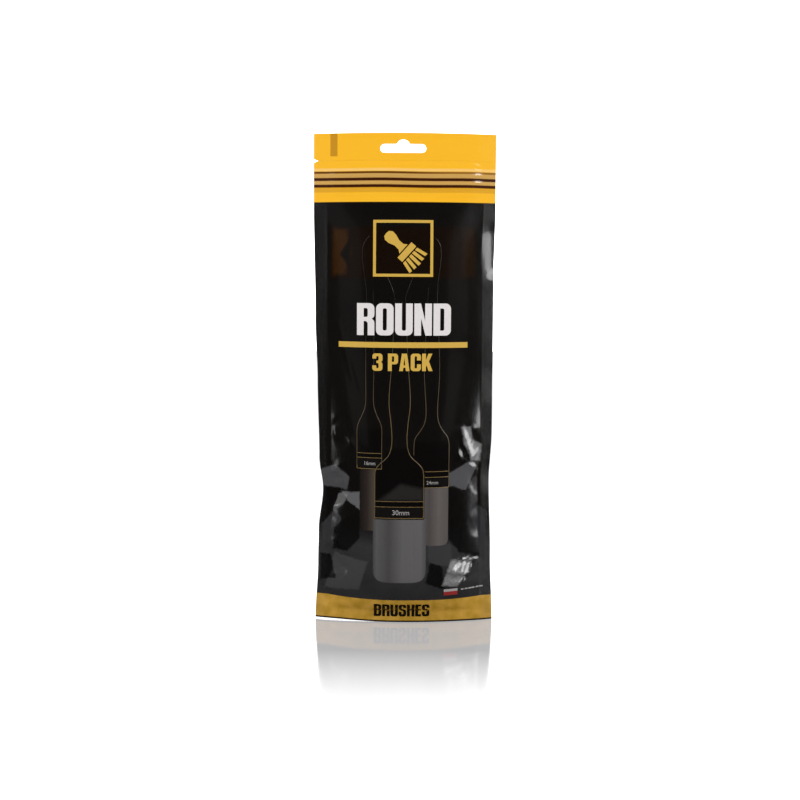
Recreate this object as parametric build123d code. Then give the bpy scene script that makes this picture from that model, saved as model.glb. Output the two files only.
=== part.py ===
"""Resealable retail pouch that holds a set of three round detailing brushes, in millimetres.

The pouch stands on its bottom seal, its printed front towards -Y. The origin is at the bottom centre of the
whole object, +Z up. Its upper part is cut into the pieces that move: two lips with the halves of the zip on
them, and the sealed header above the tear line. The brushes stand inside, tufts down.
"""

import os
from math import asin, degrees, sin, pi, sqrt

from build123d import *

# Pouch, laid flat
POUCH_WIDTH = 123.0
POUCH_HEIGHT = 330.0
FILM = 0.3
SIDE_SEAL = 7.5
BOTTOM_SEAL = 8.0
SEAL_GAP = 0.06  # between the two films where they are sealed together
KERF = 0.25  # between the pieces that a film is cut into

# Pouch, filled: seen from above it is bowed forward, and swells round the brushes
BOW = 11.0  # from the side edges to the middle of the seal
SEAL_MIDDLE_Y = -2.78
FRONT_SHARE = 0.42  # of the swelling, in front of the seal's surface
TUFT_SWELL = 33.8
HANDLE_SWELL = 19.4
SWELL_FULL_Z = 34.0
SWELL_EASES_Z = 116.0
HANDLES_ONLY_Z = 185.0
CLOSING_Z = 240.0
CAVITY_TOP_Z = 291.0
SWELL_NARROWS = 0.004  # side seal drawn in, per square millimetre of swelling

# Heights of the upper part
HINGE_Z = 252.0
ZIP_LOW_Z = 291.0
ZIP_HIGH_Z = 309.0
TEAR_Z = 312.0
LIP_HALF = 52.5  # the lips lie between the side seals

# Press-to-close zip
ZIP_GAP = 2.4
ZIP_TRACKS_Z = (297.4, 302.4)
ZIP_HALF_WIDTH = 6.5
ZIP_LENGTH = 100.0
FLANGE = 0.4
RIB = 1.0
RIB_REACH = 1.3
CHANNEL_WALL = 0.5
CHANNEL_CLEARANCE = 0.35

# Hanging slot and tear notch, in the header
SLOT_Z = 320.4
SLOT_LENGTH = 32.0
SLOT_HEIGHT = 6.5
HUMP_RADIUS = 4.8
HUMP_RISE = 1.9
NOTCH_DEPTH = 3.3
NOTCH_HEIGHT = 3.0

# Brushes: bristle diameter, length, and place of the tuft's lower end
BRUSHES = {
    "small": {"diameter": 16.0, "length": 206.0, "at": (-24.5, 1.3, 17.0)},
    "large": {"diameter": 30.0, "length": 218.0, "at": (0.0, -0.1, 16.5)},
    "medium": {"diameter": 24.0, "length": 212.0, "at": (28.2, 2.1, 18.0)},
}
TUFT_FREE = 39.0
TUFT_DOME = 16.0
FERRULE_HEIGHT = 8.0
RING_HEIGHT = 3.0
BODY_HEIGHT = 19.6
SHOULDER_HEIGHT = 16.0
NECK_RADIUS = 5.0  # this and GRIP are the largest brush's
GRIP = ((0.16, 6.75), (0.42, 4.9), (0.66, 3.4), (0.84, 7.2), (0.92, 7.6))  # share of the way up, radius
SOCKET_DEPTH = 12.0
SOCKET_WALL = 2.2
SPIGOT_CLEARANCE = 0.05
SPIGOT_WALL = 1.2
TUFT_SQUEEZE = 0.25  # between the tuft and the ferrule's bore
PLUG_HEIGHT = 5.0
LARGEST = 30.0

BOW_RADIUS = ((POUCH_WIDTH / 2) ** 2 + BOW**2) / (2 * BOW)
BOW_CENTRE_Y = SEAL_MIDDLE_Y + BOW_RADIUS
LEVELS = (0, BOTTOM_SEAL, 11, 14, 18, 23, 28, SWELL_FULL_Z, SWELL_EASES_Z, 128, 140, 155, 170, HANDLES_ONLY_Z,
          CLOSING_Z, HINGE_Z, 264, 276, 286, CAVITY_TOP_Z, ZIP_HIGH_Z, TEAR_Z, POUCH_HEIGHT)  # fmt: skip
BULGE_POINTS = 9
BIG = 400.0


def smooth(t):
    """0 to 1 with level ends, as t goes from 0 to 1."""
    t = min(1.0, max(0.0, t))
    return t * t * (3 - 2 * t)


def swell(z):
    """The cavity's thickness at its middle, at height z."""
    if z <= BOTTOM_SEAL or z >= CAVITY_TOP_Z:
        return 0.0
    rise = min(1.0, (z - BOTTOM_SEAL) / (SWELL_FULL_Z - BOTTOM_SEAL))
    handles = smooth((z - SWELL_EASES_Z) / (HANDLES_ONLY_Z - SWELL_EASES_Z))
    closing = max(0.0, (z - CLOSING_Z) / (CAVITY_TOP_Z - CLOSING_Z))
    full = TUFT_SWELL + (HANDLE_SWELL - TUFT_SWELL) * handles
    return full * sin(rise * pi / 2) ** 0.8 * (1 - closing**1.8)


def half_width(z):
    return POUCH_WIDTH / 2 - SWELL_NARROWS * swell(z) ** 2


def seal_y(x):
    """The surface that the seals and the header lie on."""
    return BOW_CENTRE_Y - sqrt(BOW_RADIUS**2 - x**2)


def gap_at(z):
    """The gap between the films beside the side seals: nothing but the seal, or the zip."""
    return ZIP_GAP if ZIP_LOW_Z <= z <= ZIP_HIGH_Z else SEAL_GAP


def film_wire(z, share, thickness):
    """One film's outline at height z. share is its share of the gap, negative for the front film."""
    outer = half_width(z)
    inner = outer - SIDE_SEAL
    away = -1 if share < 0 else 1

    def point(x, beyond):
        across = min(1.0, abs(x) / inner)
        gap = swell(z) * (1 - across**3) + gap_at(z)
        if abs(x) > inner + 1e-6:
            gap = SEAL_GAP
        return Vector(x, seal_y(x) + share * gap + away * beyond, z)

    def side(beyond):
        xs = [inner * (2 * i / (BULGE_POINTS - 1) - 1) for i in range(BULGE_POINTS)]
        bulge = [point(x, beyond) for x in xs]
        return [
            Edge.make_line(point(-outer, beyond), bulge[0]),
            Edge.make_spline(bulge),
            Edge.make_line(bulge[-1], point(outer, beyond)),
        ]

    ends = [Edge.make_line(point(x, 0), point(x, thickness)) for x in (-outer, outer)]
    return Wire(side(0) + side(thickness) + ends)


def film_sheet(share):
    """A whole film, from the bottom edge to the top of the header."""
    return Solid.make_loft([film_wire(z, share, FILM) for z in LEVELS], ruled=True)


def block(x_low, x_high, z_low, z_high):
    """A block through the pouch from front to back."""
    size = Box(x_high - x_low, BIG, z_high - z_low)
    return Pos((x_low + x_high) / 2, 0, (z_low + z_high) / 2) * size


def hanging_slot():
    """A long slot with a round hump over its middle, cut from front to back."""
    slot = Pos(0, SLOT_Z) * SlotOverall(SLOT_LENGTH, SLOT_HEIGHT)
    hump = Pos(0, SLOT_Z + HUMP_RISE) * Circle(HUMP_RADIUS)
    return extrude(Plane.XZ * (slot + hump), BIG / 2, both=True)


def tear_notch():
    """A wedge-shaped nick in the left edge, at the tear line."""
    edge = -POUCH_WIDTH / 2 - 1
    nick = Polyline(
        (edge, TEAR_Z - NOTCH_HEIGHT / 2),
        (edge + 1 + NOTCH_DEPTH, TEAR_Z),
        (edge, TEAR_Z + NOTCH_HEIGHT / 2),
        close=True,
    )
    return extrude(Plane.XZ * make_face(nick), BIG / 2, both=True)


def cut_film(share):
    """A film's panel, lip and header: one sheet, cut where the pouch opens and tears."""
    sheet = film_sheet(share) - tear_notch()
    header = (sheet & block(-BIG, BIG, TEAR_Z, BIG)) - hanging_slot()
    lip = sheet & block(-LIP_HALF, LIP_HALF, HINGE_Z, TEAR_Z - KERF)
    below = sheet & block(-BIG, BIG, -1, TEAR_Z - KERF)
    panel = below - block(-LIP_HALF - KERF, LIP_HALF + KERF, HINGE_Z - KERF, BIG)
    return panel, lip, header


def bowed_strip(rectangles):
    """Rectangles (inner radius, outer radius, low z, high z), swept along the pouch's bow as one strip."""
    profile = Sketch()
    for r_low, r_high, z_low, z_high in rectangles:
        middle = Pos((r_low + r_high) / 2, (z_low + z_high) / 2)
        profile += middle * Rectangle(r_high - r_low, z_high - z_low)
    half_turn = degrees(asin(ZIP_LENGTH / 2 / BOW_RADIUS))
    start = Plane((0, BOW_CENTRE_Y, 0), x_dir=(0, -1, 0), z_dir=(-1, 0, 0)).rotated((0, 0, -half_turn))
    axis = Axis((0, BOW_CENTRE_Y, 0), (0, 0, 1))
    return revolve(start * profile, axis, 2 * half_turn)


def zip_front_strip():
    """The half of the zip with the ribs."""
    outer = BOW_RADIUS + 0.95
    inner = outer - FLANGE
    middle = sum(ZIP_TRACKS_Z) / 2
    flange = (inner, outer, middle - ZIP_HALF_WIDTH, middle + ZIP_HALF_WIDTH)
    ribs = [(inner - RIB_REACH, inner, z - RIB / 2, z + RIB / 2) for z in ZIP_TRACKS_Z]
    return bowed_strip([flange, *ribs])


def zip_back_strip():
    """The half of the zip with the channels, each between two walls."""
    inner = BOW_RADIUS - 1.33
    outer = inner + FLANGE
    middle = sum(ZIP_TRACKS_Z) / 2
    flange = (inner, outer, middle - ZIP_HALF_WIDTH, middle + ZIP_HALF_WIDTH)
    near = RIB / 2 + CHANNEL_CLEARANCE
    far = near + CHANNEL_WALL
    walls = []
    for z in ZIP_TRACKS_Z:
        walls.append((outer, outer + RIB_REACH, z - far, z - near))
        walls.append((outer, outer + RIB_REACH, z + near, z + far))
    return bowed_strip([flange, *walls])


def turned(outline):
    """A closed outline in the XZ plane, turned about Z."""
    return revolve(make_face(outline), Axis.Z)


def tube(outer, inner, z_low, z_high):
    ring = Circle(outer) - Circle(inner)
    return extrude(Pos(0, 0, z_low) * ring, z_high - z_low)


def handle(radius, length):
    """A moulded handle: cylinder with a blind socket, shoulder, neck, grip, waist and end bulb."""
    slim = (2 * radius / LARGEST) ** 0.8  # a smaller brush has a slimmer handle
    low = TUFT_FREE + FERRULE_HEIGHT + RING_HEIGHT
    shoulder = low + BODY_HEIGHT
    neck = Vector(NECK_RADIUS * slim, 0, shoulder + SHOULDER_HEIGHT)

    def above_neck(share, r):
        return Vector(r * slim, 0, neck.Z + share * (length - neck.Z))

    flank = Spline(
        Vector(radius, 0, shoulder),
        Vector((radius + neck.X) / 2, 0, shoulder + SHOULDER_HEIGHT / 2),
        neck,
        tangents=[(-0.25, 0, 1), (0, 0, 1)],
    )
    grip = Spline(
        neck,
        *(above_neck(share, r) for share, r in GRIP),
        above_neck(1, 0),
        tangents=[(0, 0, 1), (-1, 0, 0)],
    )
    foot = Polyline((0, 0, length), (0, 0, low), (radius, 0, low), (radius, 0, shoulder))
    body = turned(Wire([*foot.edges(), *flank.edges(), *grip.edges()]))
    socket = Pos(0, 0, low + SOCKET_DEPTH / 2) * Cylinder(radius - SOCKET_WALL, SOCKET_DEPTH)
    return body - socket


def ring(radius):
    """The band between handle and ferrule, round the ferrule's spigot."""
    low = TUFT_FREE + FERRULE_HEIGHT
    return tube(radius + 0.2, radius - SOCKET_WALL, low, low + RING_HEIGHT)


def ferrule(radius):
    """The sleeve round the bristles, with the spigot that plugs into the handle's socket."""
    spigot = radius - SOCKET_WALL - SPIGOT_CLEARANCE
    shoulder = TUFT_FREE + FERRULE_HEIGHT
    top = shoulder + RING_HEIGHT + SOCKET_DEPTH - 1
    sleeve = tube(radius, spigot - SPIGOT_WALL, TUFT_FREE, shoulder)
    return sleeve + tube(spigot, spigot - SPIGOT_WALL, shoulder, top)


def tuft(radius):
    """The bristles as one solid: round lower end, full belly, and straight roots inside the ferrule."""
    root = radius - SOCKET_WALL - SPIGOT_CLEARANCE - SPIGOT_WALL - TUFT_SQUEEZE
    full = radius - 0.4
    half = sqrt(0.5)
    root_top = TUFT_FREE + FERRULE_HEIGHT + RING_HEIGHT
    dome = Spline(
        (0, 0, 0),
        (full * half, 0, TUFT_DOME * (1 - half)),
        (full, 0, TUFT_DOME),
        tangents=[(1, 0, 0), (0, 0, 1)],
    )
    belly = Spline((full, 0, TUFT_DOME), (root, 0, TUFT_FREE), tangents=[(0, 0, 1), (-0.3, 0, 1)])
    roots = Polyline((root, 0, TUFT_FREE), (root, 0, root_top), (0, 0, root_top), (0, 0, 0))
    return turned(Wire([*dome.edges(), *belly.edges(), *roots.edges()]))


def root_plug(radius):
    """The set resin that holds the bristles' roots in the ferrule."""
    bore = radius - SOCKET_WALL - SPIGOT_CLEARANCE - SPIGOT_WALL
    low = TUFT_FREE + FERRULE_HEIGHT + RING_HEIGHT
    return Pos(0, 0, low + PLUG_HEIGHT / 2) * Cylinder(bore, PLUG_HEIGHT)


def brush(diameter, length):
    """The pieces of one brush, its tuft's lower end at the origin."""
    radius = diameter / 2
    return {
        "handle": handle(radius, length),
        "ring": ring(radius),
        "ferrule": ferrule(radius),
        "tuft": tuft(radius),
        "root_plug": root_plug(radius),
    }


def pouch():
    front = cut_film(-FRONT_SHARE)
    back = cut_film(1 - FRONT_SHARE)
    pieces = {}
    for side, cut in (("front", front), ("back", back)):
        for name, piece in zip(("panel", "lip", "header"), cut):
            pieces[f"{side}_{name}"] = piece
    pieces["zip_front_strip"] = zip_front_strip()
    pieces["zip_back_strip"] = zip_back_strip()
    return pieces


def main():
    os.makedirs("parts", exist_ok=True)
    pieces = pouch()
    for size, facts in BRUSHES.items():
        for name, piece in brush(facts["diameter"], facts["length"]).items():
            pieces[f"{size}_brush_{name}"] = Pos(*facts["at"]) * piece
    for name, piece in pieces.items():
        export_step(piece, f"parts/{name}.step")


main()
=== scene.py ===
"""Resealable printed pouch that holds three round brushes: films, zip, print, contents and studio."""

import math

import bmesh
import bpy
import numpy as np
from bpy.props import FloatProperty, FloatVectorProperty, IntProperty, PointerProperty, StringProperty
from mathutils import Matrix, Vector


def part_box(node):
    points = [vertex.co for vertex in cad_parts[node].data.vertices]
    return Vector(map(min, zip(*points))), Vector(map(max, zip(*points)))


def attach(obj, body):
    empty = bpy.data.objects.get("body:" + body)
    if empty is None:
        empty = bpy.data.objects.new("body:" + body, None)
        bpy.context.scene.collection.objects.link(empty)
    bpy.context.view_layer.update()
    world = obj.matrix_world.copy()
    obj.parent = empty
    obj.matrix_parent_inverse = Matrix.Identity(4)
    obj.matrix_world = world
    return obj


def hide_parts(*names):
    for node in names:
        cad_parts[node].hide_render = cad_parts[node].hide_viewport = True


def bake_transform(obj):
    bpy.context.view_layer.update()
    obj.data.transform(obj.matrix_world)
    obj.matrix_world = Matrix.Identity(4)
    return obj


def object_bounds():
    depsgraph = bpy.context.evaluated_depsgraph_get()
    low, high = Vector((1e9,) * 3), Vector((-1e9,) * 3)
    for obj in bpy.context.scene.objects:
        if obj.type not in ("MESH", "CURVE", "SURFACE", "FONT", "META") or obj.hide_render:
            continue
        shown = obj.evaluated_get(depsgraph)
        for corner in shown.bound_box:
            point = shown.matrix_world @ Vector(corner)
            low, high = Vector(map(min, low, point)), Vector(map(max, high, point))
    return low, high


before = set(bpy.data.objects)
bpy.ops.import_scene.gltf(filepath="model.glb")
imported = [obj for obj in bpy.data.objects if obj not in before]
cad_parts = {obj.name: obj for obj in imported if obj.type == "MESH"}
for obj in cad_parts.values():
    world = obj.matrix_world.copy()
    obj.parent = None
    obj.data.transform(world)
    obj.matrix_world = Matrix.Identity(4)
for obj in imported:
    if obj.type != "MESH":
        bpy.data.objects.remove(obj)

bl_info = {
    "name": "Brush set pouch",
    "version": (1, 0, 0),
    "blender": (4, 5, 0),
    "location": "View3D > Sidebar > Pouch",
    "description": "Builds a printed resealable pouch with its zip and three round brushes",
    "category": "Add Mesh",
}

MM = 0.001
CAD_LOW, CAD_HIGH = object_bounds()
POUCH_TOP = CAD_HIGH.z / MM
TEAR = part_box("front_header")[0].z / MM
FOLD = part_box("front_lip")[0].z / MM
HALF = CAD_HIGH.x / MM
LIP_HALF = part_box("front_lip")[1].x / MM
SEAL_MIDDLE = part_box("front_header")[0].y / MM + 0.325
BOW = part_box("front_header")[1].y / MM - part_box("front_header")[0].y / MM - 0.3
BOW_RADIUS = (HALF**2 + BOW**2) / (2 * BOW)
SIZES = ("small", "large", "medium")
NOTCH_DEPTH = 3.3
NOTCH_HALF = 1.15
SEALED_GAP = 0.06  # between the films where they are sealed together
ZIP_GAP = 2.4  # between the films round the zip
ZIP_TRACKS = (297.4, 302.4)
ZIP_SHORTENED = 0.925  # so that the zip's ends stay between the films
TEAR_GAP = 0.04
OPENING_REACH = 40.0  # height over which the film bends as the mouth opens
OPENING_MARGIN = 30.0  # and the width over which it does so at each end
CREASE = math.radians(55)
INK_MESH, HEADER_MESH = 0.0015, 0.0012  # metres between the cuts that let a flat shape bend
GOLDEN_ANGLE = 2.399963
CAMERA_SIDE = -0.0028

# ---------------------------------------------------------------- settings


def length(name, text, default, low=0.0, high=1.0):
    """A length property, in metres."""
    return FloatProperty(name=name, description=text, default=default, min=low, max=high, unit="LENGTH", precision=4)


def angle(name, text, degrees):
    return FloatProperty(name=name, description=text, default=math.radians(degrees), subtype="ANGLE")


def colour(name, text, default):
    return FloatVectorProperty(
        name=name, description=text, default=default, size=3, min=0.0, max=1.0, subtype="COLOR"
    )


class FilmSettings(bpy.types.PropertyGroup):
    """Sizes and colours of the laminated film."""

    thickness: length("Film thickness", "Thickness of one laminated film", 0.00025)
    mesh_size: length("Mesh size", "Length of one face of the film's mesh", 0.00095)
    back_mesh_size: length("Back mesh size", "Length of one face of the back film's mesh", 0.0014)
    side_seal: length("Side seal", "Width of the sealed margin at each side", 0.0075)
    yellow_from: length("Yellow from", "Height above which the film is printed yellow", 0.2846)
    band_top: length("Bottom band", "Height of the printed band along the bottom", 0.0172)
    crumple: FloatProperty(
        name="Crumple", description="Strength of the film's folds and waves", default=1.0, min=0.0, max=2.0
    )
    black: colour("Black", "Printed ground of the film", (0.0042, 0.0036, 0.0032))
    yellow: colour("Yellow", "Printed header", (0.94, 0.50, 0.018))
    ochre: colour("Ochre", "Printed band along the bottom", (0.47, 0.265, 0.024))


class PrintSettings(bpy.types.PropertyGroup):
    """Words, sizes and colours of the print."""

    word: StringProperty(name="Word", description="Large white word on the front", default="ROUND")
    count: StringProperty(name="Count", description="Line under the rule", default="3 PACK")
    contents: StringProperty(name="Contents", description="Word in the bottom band", default="BRUSHES")
    ink_lift: length("Ink lift", "Height of the ink above the film", 0.00013)
    white: colour("White ink", "Large word", (0.78, 0.74, 0.73))
    gold: colour("Gold ink", "Rule, frame and count", (0.66, 0.41, 0.060))
    outline: colour("Outline ink", "Thin outlines of the brushes", (0.17, 0.115, 0.045))


class BrushSettings(bpy.types.PropertyGroup):
    """Bristles and colours of the three brushes."""

    bristles: IntProperty(name="Bristles", description="Bristles in the largest tuft", default=620, min=50, max=2000)
    bristle_radius: length("Bristle radius", "Radius of one bristle", 0.00022)
    bristle_colour: colour("Bristles", "Colour of the bristles", (0.21, 0.19, 0.17))
    handle_colour: colour("Handle", "Moulded plastic of the handles", (0.012, 0.012, 0.013))


class StageSettings(bpy.types.PropertyGroup):
    """Camera, lights and floor."""

    distance: length("Camera distance", "From the pouch to the camera", 0.9, 0.1, 5.0)
    height: length("Camera height", "Above the floor", 0.2374, 0.0, 2.0)
    pitch: angle("Pitch", "Camera's downward tilt", 5.405)
    roll: angle("Roll", "Camera's roll", 0.344)
    lens: FloatProperty(name="Lens", description="Focal length in millimetres", default=60.23, min=10.0, max=200.0)


# ---------------------------------------------------------------- shader graph


class Wire:
    """A shader socket that takes part in Python sums."""

    def __init__(self, graph, socket):
        self.graph = graph
        self.socket = socket

    def maths(self, operation, *values, clamp=False):
        inputs = dict(enumerate(values))
        return self.graph.node("ShaderNodeMath", {"operation": operation, "use_clamp": clamp}, inputs)

    def __add__(self, other):
        return self.maths("ADD", self, other)

    def __sub__(self, other):
        return self.maths("SUBTRACT", self, other)

    def __rsub__(self, other):
        return self.maths("SUBTRACT", other, self)

    def __mul__(self, other):
        return self.maths("MULTIPLY", self, other)

    def __truediv__(self, other):
        return self.maths("DIVIDE", self, other)

    def __pow__(self, other):
        return self.maths("POWER", self, other)

    def __abs__(self):
        return self.maths("ABSOLUTE", self)

    def least(self, other):
        return self.maths("MINIMUM", self, other)

    def most(self, other):
        return self.maths("MAXIMUM", self, other)

    def sine(self):
        return self.maths("SINE", self)

    def above(self, edge, soft):
        """0 below the edge, 1 above it, over the width soft."""
        return self.maths("MULTIPLY_ADD", self, 1 / soft, 0.5 - edge / soft, clamp=True)

    def between(self, low, high, soft):
        return self.above(low, soft) * (1 - self.above(high, soft))


class Graph:
    """A material and its nodes."""

    def __init__(self, name):
        self.material = bpy.data.materials.new(name)
        self.material.use_nodes = True
        self.tree = self.material.node_tree
        self.tree.nodes.clear()

    def node(self, kind, settings=None, inputs=None, out=0):
        """Adds one node: its settings first, then the values or links of its sockets."""
        made = self.tree.nodes.new(kind)
        for key, value in (settings or {}).items():
            if key == "stops":
                self.set_stops(made.color_ramp, value)
            else:
                setattr(made, key, value)
        for key, value in (inputs or {}).items():
            socket = made.inputs[key]
            if isinstance(value, Wire):
                self.tree.links.new(value.socket, socket)
            else:
                socket.default_value = value
        return Wire(self, made.outputs[out]) if made.outputs else None

    def set_stops(self, ramp, stops):
        while len(ramp.elements) < len(stops):
            ramp.elements.new(1.0)
        for element, (position, value) in zip(ramp.elements, stops):
            element.position = position
            element.color = (*value, 1.0) if hasattr(value, "__len__") else (value, value, value, 1.0)

    def mix(self, factor, first, second, blend="MIX"):
        """Colours mixed by a factor."""
        inputs = {0: factor, 6: self.rgba(first), 7: self.rgba(second)}
        return self.node("ShaderNodeMix", {"data_type": "RGBA", "blend_type": blend}, inputs, out=2)

    def rgba(self, value):
        return value if isinstance(value, Wire) else (*value[:3], 1.0)

    def noise(self, vector, scale, detail=3.0, roughness=0.5):
        inputs = {"Vector": vector, "Scale": scale, "Detail": detail, "Roughness": roughness}
        return self.node("ShaderNodeTexNoise", {}, inputs)

    def place(self):
        """Object coordinates and their three parts."""
        vector = self.node("ShaderNodeTexCoord", {}, {}, out="Object")
        return vector, *self.parts(vector)

    def parts(self, vector):
        split = self.node("ShaderNodeSeparateXYZ", {}, {0: vector})
        return [Wire(self, split.socket.node.outputs[i]) for i in range(3)]

    def flat(self):
        """Place on the flat film in millimetres: a vector, across and up."""
        uv = self.node("ShaderNodeUVMap", {"uv_map": "flat"})
        u, v, _ = self.parts(uv)
        across, up = (u - 0.5) * POUCH_TOP, v * POUCH_TOP
        vector = self.node("ShaderNodeCombineXYZ", {}, {0: across, 1: up, 2: 0.0})
        return vector, across, up

    def patch(self, across, up, corners, soft=0.5):
        """1 inside a convex outline whose corners go anticlockwise, in millimetres."""
        inside = None
        for (x0, z0), (x1, z1) in zip(corners, corners[1:] + corners[:1]):
            run = math.hypot(x1 - x0, z1 - z0)
            nx, nz = -(z1 - z0) / run, (x1 - x0) / run
            edge = across * nx + (up * nz - (nx * x0 + nz * z0))
            inside = edge if inside is None else inside.least(edge)
        return inside.above(0.0, soft)

    def bump(self, height, distance, strength=1.0, normal=None):
        inputs = {"Strength": strength, "Distance": distance, "Height": height}
        if normal is not None:
            inputs["Normal"] = normal
        return self.node("ShaderNodeBump", {}, inputs)

    def finish(self, **inputs):
        """The surface shader, with its sockets named by words joined by underscores."""
        named = {key.replace("_", " "): value for key, value in inputs.items()}
        for key in ("Base Color", "Sheen Tint", "Coat Tint", "Emission Color"):
            if key in named:
                named[key] = self.rgba(named[key])
        surface = self.node("ShaderNodeBsdfPrincipled", {}, named)
        self.node("ShaderNodeOutputMaterial", {}, {"Surface": surface})
        return self.material


# ---------------------------------------------------------------- the pouch's shape, in millimetres


def smooth(t):
    t = np.clip(t, 0.0, 1.0)
    return t * t * (3 - 2 * t)


def flow(z, points):
    """A value that goes smoothly through (height, value) points."""
    heights, values = zip(*points)
    total = np.full_like(z, values[0], dtype=float)
    for (z0, v0), (z1, v1) in zip(points, points[1:]):
        total = total + (v1 - v0) * smooth((z - z0) / (z1 - z0))
    return total


LEFT_EDGE = ((0, -60.2), (40, -58.4), (62, -58.0), (91, -55.0), (112, -57.6), (165, -58.8), (205, -60.2), (284, -61.5))
RIGHT_EDGE = ((0, 61.3), (45, 59.7), (97, 58.3), (131, 59.9), (233, 59.8), (267, 60.6))

def left_edge(z):
    notch = NOTCH_DEPTH * np.clip(1 - np.abs(z - TEAR) / NOTCH_HALF, 0, 1)
    return flow(z, LEFT_EDGE) + notch


def right_edge(z):
    return flow(z, RIGHT_EDGE)


def swell(z):
    """The cavity's thickness at its middle."""
    rise = np.clip((z - 8) / 26, 0, 1)
    handles = smooth((z - 112) / 75)
    closing = np.clip((z - 240) / 51, 0, 1)
    full = 33.8 + (19.4 - 33.8) * handles
    return full * np.sin(rise * math.pi / 2) ** 0.8 * (1 - closing**1.8)


def seal_y(x):
    return SEAL_MIDDLE + BOW_RADIUS - np.sqrt(np.maximum(BOW_RADIUS**2 - x**2, 1.0))


def gap(x, z, seal):
    """Distance between the two films."""
    inner = np.where(x < 0, -flow(z, LEFT_EDGE), right_edge(z)) - seal
    across = np.clip(np.abs(x) / inner, 0, 1)
    zip_gap = ZIP_GAP * smooth((z - 287) / 4) * (1 - smooth((z - 309) / 3)) * smooth((inner - np.abs(x)) / 8.5)
    return swell(z) * (1 - across**3) + np.maximum(zip_gap, SEALED_GAP)


def fold(x, z, start, end, height, near, far, blunt=0.4):
    """A straight fold's height: start and end, then its width on its left and right sides."""
    (x0, z0), (x1, z1) = start, end
    run = math.hypot(x1 - x0, z1 - z0)
    along = ((x - x0) * (x1 - x0) + (z - z0) * (z1 - z0)) / run
    off = ((z - z0) * (x1 - x0) - (x - x0) * (z1 - z0)) / run
    width = np.where(off > 0, near, far)
    slope = 1 - np.sqrt(off**2 + blunt**2) / width
    taper = np.sin(math.pi * np.clip(along / run, 0, 1)) ** 0.7
    return height * np.clip(slope, 0, 1) * taper


FRONT_FOLDS = (
    # right flank, where the film lets go of the large tufts
    ((38, 137), (47, 110), 1.1, 3.0, 4.2),
    ((47, 134), (40, 108), 0.8, 2.4, 2.4),
    ((35, 118), (53, 101), 0.8, 2.6, 3.4),
    # lower right corner
    ((43, 45), (37, 27), 0.8, 3.4, 3.0),
    ((33, 43), (40, 30), 0.5, 2.4, 3.0),
    # left flank
    ((-45, 207), (-30, 152), 0.45, 2.4, 3.2),
    ((-48, 143), (-30, 117), 0.8, 2.2, 3.0),
    ((-55, 92), (-34, 97), 1.3, 5.0, 6.0),
    ((-54, 95), (-40, 112), 0.8, 4.0, 4.0),
    ((-57, 60), (-42, 44), 0.8, 4.0, 5.0),
)
BACK_FOLDS = (
    ((-36, 132), (-50, 104), 1.4, 3.2, 4.0),
    ((38, 128), (50, 100), 1.3, 3.0, 4.0),
    ((-30, 24), (-50, 44), 1.5, 4.0, 4.0),
    ((24, 26), (46, 40), 1.5, 4.0, 4.4),
    ((-20, 118), (6, 108), 0.7, 3.0, 4.0),
    ((55, 84), (40, 92), 1.0, 3.5, 3.5),
)
# centre across and up, reach across and up, depth pushed in, share of small facets
FRONT_DENTS = (
    (44.5, 124, 8.5, 15, 1.0, 0.50),
    (50, 98, 6, 10, 0.4, 0.15),
    (42, 38, 13, 11, 0.2, 0.22),
    (50, 70, 6, 12, 0.5, 0.10),
    (-47, 91, 9, 12, 2.2, 0.36),
    (-42, 131, 7, 12, 0.9, 0.5),
    (-46, 42, 10, 13, 1.8, 0.4),
    (-50, 66, 6, 10, 0.5, 0.2),
)
BACK_DENTS = (
    (44, 120, 10, 16, 2.0, 0.9),
    (-45, 96, 10, 14, 2.4, 0.9),
    (42, 38, 13, 14, 3.0, 1.0),
    (-42, 36, 13, 14, 2.8, 1.0),
)


def facets(x, z, seed, reach):
    """Small flat facets that meet in straight creases, as on film that has been squeezed."""
    chance = np.random.default_rng(seed)
    total = np.zeros_like(x)
    for _ in range(5):
        size, angle = chance.uniform(0.7, 1.8) * reach, chance.uniform(0, math.pi)
        along, off = x * np.cos(angle) + z * np.sin(angle), z * np.cos(angle) - x * np.sin(angle)
        step = along / size + chance.uniform(0, 2) + 0.30 * np.sin(off / reach * 0.9 + chance.uniform(0, 6))
        total += np.abs(step % 2 - 1) * size
    return total / 5 - reach * 0.6


def dents(x, z, places, seed):
    """Hollows with facets in them, where the film has nothing behind it."""
    depth, share = np.zeros_like(x), np.zeros_like(x)
    for across, up, wide, high, deep, rough in places:
        near = np.clip(1 - ((x - across) / wide) ** 2 - ((z - up) / high) ** 2, 0, 1)
        depth = np.maximum(depth, deep * near * (2 - near) * 0.9)
        share = np.maximum(share, rough * smooth(near * 1.6))
    return share * facets(x, z, seed, 5.5) - depth


def pocket(x, z):
    """A slanting flap at the lower right: it leans out towards the bottom and ends in a ledge above."""
    left, right = 25.0 + (z - 28) * 0.35, 41.0 + (z - 24) * 0.55
    beside = smooth((x - left) / 3.0) * smooth((right - x) / 3.5)
    window = beside * smooth((z - 25.5) / 4.0) * (1 - smooth((z - 44.0) / 3))
    step = ((z + 0.25 * (x - 36) - 25.0) / 10.5) % 1
    lean = 0.36 * 10.5 * (0.45 - np.where(step < 0.85, step, 0.85 * (1 - step) / 0.15)) - 0.14 * (x - 37)
    crease = 0.9 * np.abs(((x - 0.5 * z) / 5.0 + 0.2) % 2 - 1)
    return window * (lean + crease - 0.5)


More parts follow.
